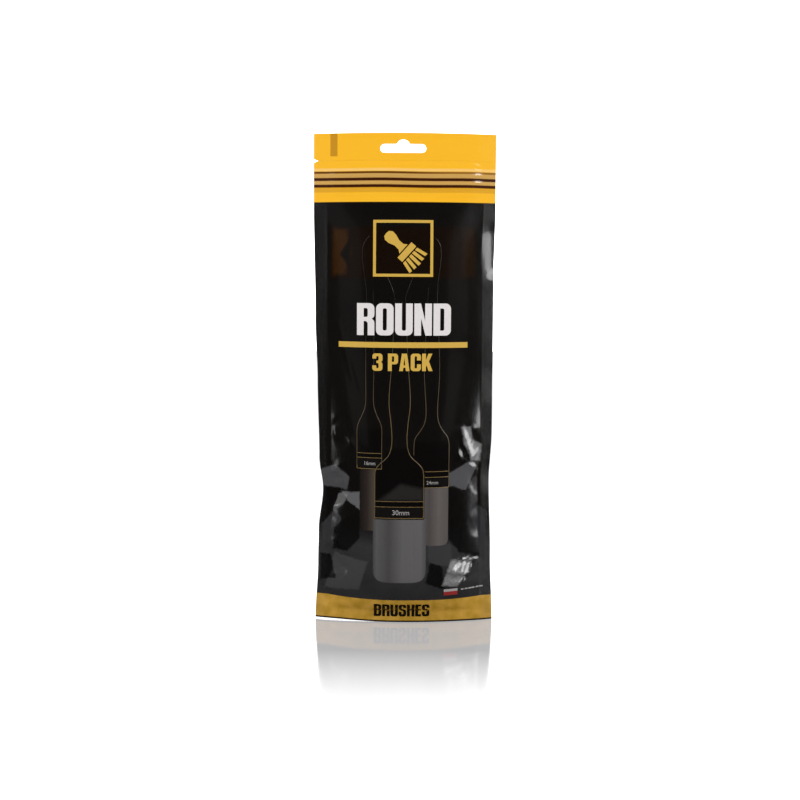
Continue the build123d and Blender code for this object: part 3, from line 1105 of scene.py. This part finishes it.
class POUCH_OT_header(PouchOperator, bpy.types.Operator):
    """Make the sealed header with its hanging slot and tear notch"""

    bl_idname = "pouch.header"
    bl_label = "Header"

    def execute(self, context):
        film, *_ = self.settings(context)
        for side, word in ((-1, "front"), (1, "back")):
            sheet = flat_curve(f"{word}_header_film", [self.outline(), self.slot()])
            cut_fine(sheet.data, HEADER_MESH)
            places = coordinates(sheet.data) / MM
            x, z = places[:, 0], places[:, 2]
            flat_uv(sheet.data, x, z)
            move_to(sheet.data, np.stack([x, film_y(x, z, side, film), z], axis=1) * MM)
            if side > 0:
                sheet.data.flip_normals()
            made = thicken(sheet, film.thickness)
            paint(made, printed_header(film, side < 0))
            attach(made, "header")
            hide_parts(f"{word}_header")
        return {"FINISHED"}

    def outline(self):
        """The header's edge, with half of the tear notch at its lower left corner."""
        rows = np.concatenate([TEAR + np.array([0.0, 0.5, 1.15]), np.linspace(TEAR + 3, POUCH_TOP, 7)])
        right = list(zip(right_edge(rows), rows))
        left = list(zip(left_edge(rows), rows))
        return right + left[::-1]

    def slot(self):
        """A long slot with a hump over its middle."""
        middle, level, long, high, hump, lift = -1.6, 319.75, 15.2, 2.85, 4.1, 1.65
        points = turn(long - high, 0, high, -90, 90, 12)
        points += [(x * 1.08, lift + z) for x, z in turn(0, 0, hump, 17, 163, 14)]
        points += turn(high - long, 0, high, 90, 270, 12)
        return [(middle + x, level + z) for x, z in points]


class POUCH_OT_zip(PouchOperator, bpy.types.Operator):
    """Make the two halves of the press-to-close zip"""

    bl_idname = "pouch.zip"
    bl_label = "Zip"

    def execute(self, context):
        plastic = moulded_plastic("zip_plastic", (0.62, 0.58, 0.50), 0.35, 1500.0, 0.00003)
        for side, word in ((-1, "front"), (1, "back")):
            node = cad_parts[f"zip_{word}_strip"]
            strip = new_object(f"zip_{word}", node.data.copy())
            bm = bmesh.new()
            bm.from_mesh(strip.data)
            bmesh.ops.remove_doubles(bm, verts=bm.verts[:], dist=0.000001)
            slice_at(bm, ACROSS, [k * 0.002 for k in range(-24, 25)])
            slice_at(bm, UP, [(FOLD + 2 * k) * MM for k in range(1, 10)])
            bmesh.ops.scale(bm, verts=bm.verts[:], vec=(ZIP_SHORTENED, 1, 1))
            bm.to_mesh(strip.data)
            bm.free()
            self.crush_ends(strip.data)
            strip.data.shade_flat()
            paint(strip, plastic)
            follow_lip(strip, side)
            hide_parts(node.name)
        return {"FINISHED"}


    def crush_ends(self, mesh):
        """The zip is pressed thin where it runs into the side seals."""
        places = coordinates(mesh)
        x = places[:, 0] / MM
        middle = seal_y(x) * MM
        thin = 1 - 0.62 * smooth((np.abs(x) - 33) / 9)
        places[:, 1] = middle + (places[:, 1] - middle) * thin
        move_to(mesh, places)


class POUCH_OT_words(PouchOperator, bpy.types.Operator):
    """Print the frame, the words, the rule and the sizes"""

    bl_idname = "pouch.words"
    bl_label = "Words and frame"

    def execute(self, context):
        film, text, *_ = self.settings(context)
        white = ink("white_ink", text.white, 0.32)
        gold = ink("gold_ink", text.gold, 0.30)
        dark = ink("dark_ink", (0.010, 0.007, 0.004), 0.35)
        grey = ink("grey_ink", (0.30, 0.29, 0.28), 0.35)
        rule = flat_curve("rule", [rectangle(-44.2, 188.1, 42.2, 191.8)])
        frame_outer = rectangle(-21.2, 235.2, 18.6, 272.6)
        frame_inner = rectangle(-19.3, 237.1, 16.7, 270.7)
        flat_pieces = (
            (rule, gold),
            (flat_curve("frame", [frame_outer, frame_inner]), gold),
            (self.pictogram(), gold),
            (lettering("word", text.word, (-31.8, 196.3, 30.8, 217.6)), white),
            (lettering("count", text.count, (-21.4, 172.7, 18.8, 184.3), 0.06), gold),
            (lettering("contents", text.contents, (-19.8, 4.0, 18.1, 13.6), 0.06), dark),
            (small_figures("size_large", "30mm", (-7.6, 76.6, 3.8, 80.0)), grey),
            (small_figures("size_small", "16mm", (-26.3, 109.8, -19.0, 112.4)), grey),
            (small_figures("size_medium", "24mm", (15.2, 97.3, 23.0, 99.7)), grey),
        )
        for obj, material in flat_pieces:
            paint(obj, material)
            lay_ink(obj, film, text, lift=1.5)
        self.small_print(film, text)
        return {"FINISHED"}

    def pictogram(self):
        """A plain brush that lies slantwise in the frame."""
        outlines = []
        upper = [(-15.6, 253.7), (-15.2, 255.9), (-13.2, 257.3), (-10.4, 257.2)]
        upper += [(-6.5, 255.9), (-3.0, 256.0), (-0.9, 257.6)]
        lower = [(x, 507.4 - z) for x, z in reversed(upper[1:])]
        outlines.append(upper + lower)
        outlines.append(rectangle(-0.1, 247.2, 3.9, 260.2))
        for k in range(5):
            z, lean, end = 247.0 + k * 2.75, (k - 2) * 0.85, 13.0 - abs(k - 2) * 0.5
            outlines.append([(4.8, z), (end, z + lean - 0.2), (end + 0.2, z + lean + 1.9), (4.8, z + 2.1)])
        middle = Vector((-1.3, 253.8))
        slant = Matrix.Rotation(math.radians(-42), 2) * 1.06
        turned = [[slant @ (Vector(p) - middle) + middle for p in outline] for outline in outlines]
        return flat_curve("pictogram", turned)

    def small_print(self, film, text):
        """A tiny two-coloured block and a grey bar of unreadable print."""
        red = ink("red_ink", (0.35, 0.020, 0.018), 0.35)
        pale = ink("pale_ink", (0.42, 0.40, 0.39), 0.35)
        block_low = flat_curve("block_low", [rectangle(27.5, 20.4, 37.0, 23.2)])
        block_high = flat_curve("block_high", [rectangle(27.5, 23.2, 37.0, 25.0)])
        bars = [rectangle(39.4 + 2.6 * k, 23.4, 41.2 + 2.6 * k + (k % 3) * 0.3, 24.3) for k in range(6)]
        lines = flat_curve("small_print", bars)
        for obj, material in ((block_low, red), (block_high, pale), (lines, pale)):
            paint(obj, material)
            lay_ink(obj, film, text)


OUTLINES = {
    # centre, then (height, half width) from the ring up
    "large": (-3.0, [
        (85.7, 16.3), (98, 16.3), (106.5, 16.3), (110.5, 13.6), (115, 8.0), (120, 5.6), (127, 4.8), (138, 5.6),
        (149, 7.2), (160, 6.9), (171, 5.9), (187, 4.9), (206, 3.9), (219, 3.1), (226, 4.6), (234.6, 8.4)]),
    "small": (-23.1, [
        (117.8, 8.3), (127, 8.3), (134.5, 8.4), (138.5, 7.2), (143.5, 4.7), (149, 2.6), (160, 2.5), (172, 2.8),
        (190, 2.7), (212, 2.3), (226, 2.2), (238, 4.2), (251, 5.6), (259, 4.0), (262, 0.0)]),
    "medium": (18.4, [
        (105.8, 11.8), (117, 11.8), (125.5, 11.8), (129.5, 10.4), (134.5, 6.3), (140, 4.0), (148, 3.7), (160, 4.6),
        (172, 5.3), (190, 4.6), (212, 3.4), (228, 2.9), (240, 4.8), (252, 5.8), (259, 4.2), (262, 0.0)]),
}  # fmt: skip
BANDS = {
    # x0, x1, height of the upper line, of the lower line, and of the label's lower edge
    "large": (-19.3, 13.3, 85.7, 82.0, 74.4),
    "small": (-31.4, -14.8, 117.8, 114.8, 107.4),
    "medium": (14.0, 30.2, 105.8, 102.0, 95.0),
}


class POUCH_OT_outlines(PouchOperator, bpy.types.Operator):
    """Print the outlines of the three brushes"""

    bl_idname = "pouch.outlines"
    bl_label = "Brush outlines"

    def execute(self, context):
        film, text, *_ = self.settings(context)
        widths = {"large": 0.00052, "small": 0.00042, "medium": 0.00044}
        for size in SIZES:
            centre, profile = OUTLINES[size]
            low = BANDS[size][4] + 1.2
            runs = []
            for hand in (-1, 1):
                run = [(centre + hand * profile[0][1], low)] + [(centre + hand * w, z) for z, w in profile]
                # the large brush's outline hides the foot of the medium one, the frame hides two upper ends
                if size == "medium" and hand < 0:
                    run = run[2:]
                if (size, hand) in (("small", 1), ("medium", -1)):
                    run = [p for p in run if p[1] < 233]
                runs.append(run)
            line = inked_line(f"outline_{size}", runs, widths[size])
            paint(line, fading_ink(f"outline_ink_{size}", text.outline, 0.9 if size == "large" else 0.68))
            lay_line(line, film, text)
            self.bands(size, film, text)
        return {"FINISHED"}

    def bands(self, size, film, text):
        """The ring's two lines and the label's lower edge."""
        x0, x1, high, middle, low = BANDS[size]
        r = 1.1
        left = [(x0, low)] if size == "medium" else [(x0, low + r + 1), (x0, low + r), (x0, low), (x0 + r, low)]
        right = [(x1 - r, low), (x1, low), (x1, low + r), (x1, low + r + 1)]
        edge = left + [(x0 + r + 1, low), (x1 - r - 1, low)] + right
        runs = [[(x0, high), (x1, high)], [(x0, middle), (x1, middle)], edge]
        line = inked_line(f"bands_{size}", runs, 0.00042)
        paint(line, ink(f"band_ink_{size}", (0.26, 0.17, 0.055), 0.35, 0.2))
        lay_line(line, film, text)


class POUCH_OT_brushes(PouchOperator, bpy.types.Operator):
    """Finish the handles, rings and ferrules, and make the bristles"""

    bl_idname = "pouch.brushes"
    bl_label = "Brushes"

    def execute(self, context):
        _, _, brush, _ = self.settings(context)
        handle = moulded_plastic("handle_plastic", tuple(brush.handle_colour), 0.16, 900.0, 0.00005)
        ferrule = moulded_plastic("ferrule_plastic", (0.030, 0.030, 0.032), 0.38, 1800.0, 0.00005)
        brass, resin, fibre = satin_brass(), cast_resin(), bristle_fibre(brush)
        for size in SIZES:
            for part, material in (("handle", handle), ("ferrule", ferrule), ("ring", brass), ("root_plug", resin)):
                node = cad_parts[f"{size}_brush_{part}"]
                paint(node, material)
            tuft = self.tuft(size, brush)
            paint(tuft, fibre)
            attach(tuft, f"{size}_brush")
            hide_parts(f"{size}_brush_tuft")
        return {"FINISHED"}

    def tuft(self, size, brush):
        """Bristles in sunflower order: straight roots, a slight belly, and a domed end."""
        low, high = (np.array(corner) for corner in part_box(f"{size}_brush_tuft"))
        belly = (high[0] - low[0]) / 2
        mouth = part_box(f"{size}_brush_ferrule")[0].z
        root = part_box(f"{size}_brush_root_plug")
        count = max(60, round(brush.bristles * (belly / 0.0146) ** 2))
        stations = 5
        bm = bmesh.new()
        end = bmesh.ops.create_circle(bm, segments=4, radius=1.0, cap_ends=True)["verts"]
        face = end[0].link_faces[0]
        for _ in range(stations - 1):
            edges = bmesh.ops.extrude_face_region(bm, geom=[face], use_keep_orig=len(bm.verts) == 4)["geom"]
            face = next(part for part in edges if isinstance(part, bmesh.types.BMFace))
        bmesh.ops.recalc_face_normals(bm, faces=bm.faces[:])
        while len(bm.verts) < count * stations * 4:
            bmesh.ops.duplicate(bm, geom=bm.verts[:] + bm.edges[:] + bm.faces[:])
        bm.verts.ensure_lookup_table()
        bmesh.ops.delete(bm, geom=bm.verts[count * stations * 4 :], context="VERTS")
        obj = from_bmesh(f"{size}_brush_bristles", bm)

        number = np.repeat(np.arange(count), stations * 4)
        station = np.tile(np.repeat(np.arange(stations), 4), count)
        corner = np.tile(np.arange(4), count * stations) * math.pi / 2
        chance = np.random.default_rng(3)
        thick = brush.bristle_radius
        share = np.sqrt((number + 0.5) / count)
        angle = number * GOLDEN_ANGLE
        at_root = ((root[1].x - root[0].x) / 2 - 0.0003 - thick) * share
        at_belly = (belly - thick * 1.5) * share
        tip = low[2] + 0.016 * (1 - np.sqrt(1 - (0.985 * share) ** 2)) + chance.uniform(0, 0.0012, count)[number]
        lean = chance.normal(0, 0.00016, (count, 2))[number]
        heights = np.stack([np.full_like(tip, high[2]), np.full_like(tip, mouth), np.full_like(tip, mouth - 0.010),
                            np.maximum(low[2] + 0.014, tip + 0.004), tip])  # fmt: skip
        reaches = np.stack([at_root, at_root, at_root + (at_belly - at_root) * 0.72, at_belly, at_belly * 0.985])
        girths = np.array([1.0, 1.0, 1.0, 1.0, 0.55])[station] * thick
        loose = (station > 1)[:, None] * lean
        every = np.arange(len(number))
        reach, z = reaches[station, every], heights[station, every]
        x = (low[0] + high[0]) / 2 + reach * np.cos(angle) + girths * np.cos(corner + angle) + loose[:, 0]
        y = (low[1] + high[1]) / 2 + reach * np.sin(angle) + girths * np.sin(corner + angle) + loose[:, 1]
        move_to(obj.data, np.stack([x, y, z], axis=1))
        return obj


class POUCH_OT_stage(PouchOperator, bpy.types.Operator):
    """Set up the floor, the lights and the camera"""

    bl_idname = "pouch.stage"
    bl_label = "Stage"

    def execute(self, context):
        *_, stage = self.settings(context)
        scene = context.scene
        scene.view_settings.view_transform = "Standard"
        self.sweep()
        self.lights()
        self.world(scene)
        camera = bpy.data.cameras.new("camera")
        camera.lens, camera.sensor_width = stage.lens, 36.0
        camera.clip_start, camera.clip_end = 0.01, 50.0
        obj = new_object("camera", camera)
        turn = Matrix.Rotation(math.pi / 2 - stage.pitch, 4, "X") @ Matrix.Rotation(stage.roll, 4, "Z")
        obj.matrix_world = Matrix.Translation((CAMERA_SIDE, -stage.distance, stage.height)) @ turn
        scene.camera = obj
        return {"FINISHED"}

    def sweep(self):
        """A pale floor that glows, less in front of the pouch as a painted shade, and a bright backdrop that stands
        behind it.
        """
        bm = bmesh.new()
        bmesh.ops.create_grid(bm, x_segments=8, y_segments=8, size=4.0)
        floor = from_bmesh("floor", bm)
        graph = Graph("pale_floor")
        vector, x, y, _ = graph.place()
        beside = 1 - abs(x).above(0.095, 0.07)
        before = y.above(-0.124, 0.105) * (1 - y.above(0.014, 0.024))
        near = beside * before
        cloud = graph.noise(vector, 3.0, 2.0)
        base = graph.mix(cloud, (0.10, 0.10, 0.10), (0.12, 0.12, 0.12))
        # In front of and under the pouch the floor glows less, a painted shade under its mirror image, and is glossier
        # there
        glow = graph.mix(near, (0.97, 0.97, 0.97), (0.38, 0.375, 0.38))
        material = graph.finish(
            Base_Color=base, Roughness=near * -0.12 + 0.18, Emission_Color=glow, Emission_Strength=1.0
        )
        paint(floor, material)
        floor.visible_glossy = False

        graph = Graph("bright_backdrop")
        vector, *_ = graph.place()
        cloud = graph.noise(vector, 0.6, 2.0)
        glow = graph.mix(cloud, (1.0, 0.99, 0.985), (1.0, 1.0, 1.0))
        material = graph.finish(Base_Color=(0.8, 0.8, 0.8), Roughness=0.9, Emission_Color=glow, Emission_Strength=2.3)
        for name, low, high in (("backdrop_low", -0.001, 0.62), ("backdrop_high", 0.62, 3.6)):
            bm = bmesh.new()
            bmesh.ops.create_circle(bm, segments=64, radius=3.2)
            front = [e for e in bm.edges if max(v.co.y for v in e.verts) < 0.4]
            bmesh.ops.delete(bm, geom=front, context="EDGES")
            lifted = bmesh.ops.extrude_edge_only(bm, edges=bm.edges[:])["geom"]
            moved = [v for v in lifted if isinstance(v, bmesh.types.BMVert)]
            bmesh.ops.translate(bm, verts=moved, vec=(0, 0, high - low))
            bmesh.ops.translate(bm, verts=bm.verts[:], vec=(0, 0, low))
            backdrop = from_bmesh(name, bm)
            paint(backdrop, material)
            backdrop.visible_diffuse = False
            backdrop.visible_glossy = name == "backdrop_high"

    def lights(self):
        """Broad soft light for the print, and narrow strips that only the gloss shows."""
        for name, place, aim, size, power, shown_in in (
            ("top_softbox", (0.0, -0.6, 1.7), (0, 0, 0.1), (1.6, 1.2), 4.0, "diffuse"),
            ("right_rim", (1.18, 0.20, 0.33), (0, 0, 0.16), (0.55, 0.75), 6.5, "gloss"),
            ("left_rim", (-1.18, 0.20, 0.33), (0, 0, 0.16), (0.30, 0.75), 0.9, "gloss"),
            ("high_right", (1.05, -0.34, 0.85), (0, 0, 0.16), (0.70, 0.50), 10.0, "gloss"),
            ("high_left", (-1.05, -0.34, 0.85), (0, 0, 0.16), (0.50, 0.40), 2.0, "gloss"),
            ("left_sheen", (-0.95, -0.85, 0.35), (0, 0, 0.16), (0.6, 0.6), 0.10, "gloss"),
            ("right_sheen", (0.95, -0.85, 0.35), (0, 0, 0.16), (0.5, 0.5), 0.08, "gloss"),
        ):
            data = bpy.data.lights.new(name, "AREA")
            data.shape = "RECTANGLE"
            data.size, data.size_y = size
            data.energy = power
            obj = new_object(name, data)
            direction = Vector(aim) - Vector(place)
            obj.matrix_world = Matrix.Translation(place) @ direction.to_track_quat("-Z", "Y").to_matrix().to_4x4()
            if shown_in == "gloss":
                obj.visible_diffuse = False
            else:
                obj.visible_glossy = False

    def world(self, scene):
        world = bpy.data.worlds.new("studio")
        scene.world = world
        world.use_nodes = True
        background = world.node_tree.nodes["Background"]
        background.inputs["Color"].default_value = (1.0, 1.0, 1.0, 1.0)
        background.inputs["Strength"].default_value = 1.0
        world.cycles_visibility.glossy = False


class POUCH_PT_panel(bpy.types.Panel):
    """Lists the settings and the steps"""

    bl_label = "Brush set pouch"
    bl_idname = "POUCH_PT_panel"
    bl_space_type = "VIEW_3D"
    bl_region_type = "UI"
    bl_category = "Pouch"

    def draw(self, context):
        layout = self.layout
        for group in ("pouch_film", "pouch_print", "pouch_brushes", "pouch_stage"):
            box = layout.box()
            settings = getattr(context.scene, group)
            for name in settings.__annotations__:
                box.prop(settings, name)
        for operator in OPERATORS:
            layout.operator(operator.bl_idname)


GROUPS = {
    "pouch_film": FilmSettings,
    "pouch_print": PrintSettings,
    "pouch_brushes": BrushSettings,
    "pouch_stage": StageSettings,
}
OPERATORS = (
    POUCH_OT_films,
    POUCH_OT_header,
    POUCH_OT_zip,
    POUCH_OT_words,
    POUCH_OT_outlines,
    POUCH_OT_brushes,
    POUCH_OT_stage,
)


def register():
    for group in GROUPS.values():
        bpy.utils.register_class(group)
    for name, group in GROUPS.items():
        setattr(bpy.types.Scene, name, PointerProperty(type=group))
    for operator in OPERATORS:
        bpy.utils.register_class(operator)
    bpy.utils.register_class(POUCH_PT_panel)


def unregister():
    bpy.utils.unregister_class(POUCH_PT_panel)
    for operator in reversed(OPERATORS):
        bpy.utils.unregister_class(operator)
    for name, group in GROUPS.items():
        delattr(bpy.types.Scene, name)
        bpy.utils.unregister_class(group)


def main():
    register()
    bpy.ops.pouch.films()
    bpy.ops.pouch.header()
    bpy.ops.pouch.zip()
    bpy.ops.pouch.words()
    bpy.ops.pouch.outlines()
    bpy.ops.pouch.brushes()
    bpy.ops.pouch.stage()


if __name__ == "__main__":
    main()
